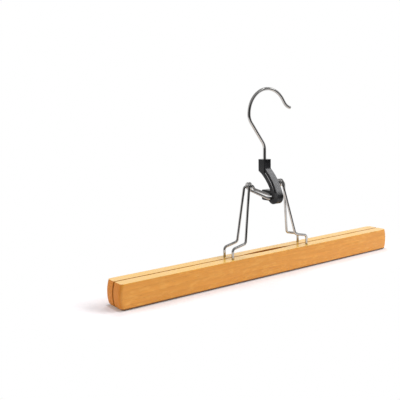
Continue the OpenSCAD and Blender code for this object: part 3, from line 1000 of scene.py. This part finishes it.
studio = {
    "paper": (0.80, 0.79, 0.80),          # the floor under and round the hanger
    "glow": (0.20, 0.175, 0.185),         # its even part, so that open paper comes out white, tinted pink for the light the wood throws into its shadow
    "glowFrom": 2 * mm,                   # from the jaws, where that part is whole; nearer the jaws it fades out, a painted contact shadow
    "fadeFrom": 14 * mm,                  # where the paper starts to turn plain white
    "fadeTo": 60 * mm,
    "low": (-0.45, -0.17),
    "high": (1.2, 1.2),
    "ambient": 0.38,
    "darkSide": 0.05,
    "darkAim": (-0.38, -0.92, -0.08),     # the room behind the camera, which the wires mirror
    "darkRange": (-0.05, 0.5),            # how squarely they face it, from the bright side to the dark one
    "overhead": 0.38,                     # its ceiling
    "ceilingRange": (0.3, 0.7),           # how steeply a ray has to rise to meet it
    "farSide": 0.90,                      # and the side behind the hanger
    "lampAim": (0, 0, 0.09),
    "floorDrop": 0.02 * mm,               # so that the jaws' undersides don't lie in the paper
}

white, black = (1.0, 1.0, 1.0), (0.0, 0.0, 0.0)


def makePaper():
    # Paper that turns plain white away from the jaws where it is seen, and stays paper for the light; its
    # glow fades out at the jaws, a painted contact shadow
    material = bpy.data.materials.new("paleFloor")
    material.use_nodes = True
    tree = material.node_tree
    tree.nodes.clear()
    out = addNode(tree, "ShaderNodeOutputMaterial")
    path = addNode(tree, "ShaderNodeLightPath").outputs
    seen = larger(tree, path["Is Camera Ray"], larger(tree, path["Is Glossy Ray"],
                                                      path["Is Transmission Ray"]))
    spot = splitNode(tree, addNode(tree, "ShaderNodeTexCoord").outputs["Object"])
    beyond = {axis: larger(tree, 0, minus(tree, mathNode(tree, "ABSOLUTE", spot[axis]), half))
              for axis, half in (("X", cadBox[1].x), ("Y", cadBox[1].y))}
    away = lengthNode(tree, **beyond)
    fade = within(tree, away, studio["fadeFrom"], studio["fadeTo"])
    # the glow left out next to the jaws: painted contact shadow
    near = mixColor(tree, within(tree, away, 0, studio["glowFrom"]), black, studio["glow"])
    bounce = wired(tree, "ShaderNodeBsdfDiffuse", {"Color": (*studio["paper"], 1)})[0]
    shaded = wired(tree, "ShaderNodeBsdfDiffuse", {"Color": mixColor(tree, fade, studio["paper"], black)})[0]
    glow = wired(tree, "ShaderNodeEmission", {"Color": mixColor(tree, fade, near, white)})[0]
    both = wired(tree, "ShaderNodeAddShader", {0: shaded, 1: glow})[0]
    mix = wired(tree, "ShaderNodeMixShader", {0: seen, 1: bounce, 2: both})[0]
    tree.links.new(mix, out.inputs["Surface"])
    return material


def makeFloor():
    (left, near), (right, far) = studio["low"], studio["high"]
    mesh = bpy.data.meshes.new("floor")
    mesh.from_pydata([(left, near, 0), (right, near, 0), (right, far, 0), (left, far, 0)], [],
                     [(0, 1, 2, 3)])
    floor = newObject("floor", mesh)
    floor.location.z = -studio["floorDrop"]
    mesh.materials.append(makePaper())


def makeWorld():
    # White to the camera, and a room with a dark side to what mirrors it
    world = bpy.data.worlds.new("studioWorld")
    bpy.context.scene.world = world
    world.use_nodes = True
    tree = world.node_tree
    shade = tree.nodes["Background"]
    path = addNode(tree, "ShaderNodeLightPath").outputs
    direction = addNode(tree, "ShaderNodeTexCoord").outputs["Generated"]
    aim = wired(tree, "ShaderNodeVectorMath", {0: direction, 1: Vector(studio["darkAim"]).normalized()},
                operation="DOT_PRODUCT")["Value"]
    sides = within(tree, aim, *studio["darkRange"], studio["farSide"], studio["darkSide"])
    ceiling = within(tree, splitNode(tree, direction)["Z"], *studio["ceilingRange"])
    room = mixValue(tree, ceiling, sides, studio["overhead"])
    light = mixValue(tree, path["Is Glossy Ray"], studio["ambient"], room)
    seen = larger(tree, path["Is Camera Ray"], path["Is Transmission Ray"])
    tree.links.new(larger(tree, light, seen), shade.inputs["Strength"])
    shade.inputs["Color"].default_value = (*white, 1)


lamps = {       # panels: power in watts, and the direction of the long side
    "rightPanel": {"place": (1.05, -0.72, 1.22), "size": (0.50, 1.5), "power": 18,
                   "along": (0, -0.83, -0.57), "mirrored": False},
    "rightGlow": {"place": (1.05, -0.72, 1.22), "size": (0.9, 1.7), "power": 7.5,
                  "along": (0, -0.83, -0.57), "mirrored": True},
    "backPanel": {"place": (0.35, 0.45, 1.1), "size": (0.4, 0.4), "power": 4,
                  "along": (1, 0, 0), "mirrored": False},
    "leftFill": {"place": (-1.0, 0.35, 0.55), "size": (0.8, 0.8), "power": 4,
                 "along": (0, 0, 1), "mirrored": False},
}


def softbox(name, place, size, power, along, mirrored):
    # A panel aimed at the hanger; the wires show it only if it is mirrored
    light = bpy.data.lights.new(name, "AREA")
    light.shape = "RECTANGLE"
    light.size, light.size_y = size
    light.energy = power
    thing = newObject(name, light)
    thing.visible_glossy = mirrored
    back = (Vector(place) - Vector(studio["lampAim"])).normalized()
    across = Vector(along).cross(back).normalized()
    up = back.cross(across)
    thing.matrix_world = Matrix.Translation(place) @ Matrix((across, up, back)).transposed().to_4x4()


makeFloor()
makeWorld()
for name, lamp in lamps.items():
    softbox(name, **lamp)
print("studio lit")

view = {
    "place": (-0.40408, -0.44810, 0.16880),
    "yaw": 35.64,                  # degrees
    "pitch": -8.72,
    "roll": -1.25,
    "lens": 54.15,                 # millimetres, on a sensor of 36
    "sensor": 36,
}


def makeCamera():
    yaw, pitch, roll = (math.radians(view[key]) for key in ("yaw", "pitch", "roll"))
    forward = Vector((math.sin(yaw) * math.cos(pitch), math.cos(yaw) * math.cos(pitch), math.sin(pitch)))
    right = forward.cross(Vector((0, 0, 1))).normalized()
    up = right.cross(forward)
    rolledRight = right * math.cos(roll) + up * math.sin(roll)
    rolledUp = up * math.cos(roll) - right * math.sin(roll)
    data = bpy.data.cameras.new("photoCamera")
    data.sensor_width = view["sensor"]
    data.lens = view["lens"]
    data.clip_start = 0.01
    camera = newObject("photoCamera", data)
    turn = Matrix((rolledRight, rolledUp, -forward)).transposed()
    camera.matrix_world = Matrix.Translation(view["place"]) @ turn.to_4x4()
    bpy.context.scene.camera = camera


makeCamera()
bpy.context.scene.view_settings.view_transform = "Standard"
print("camera placed")

bpy.context.view_layer.update()
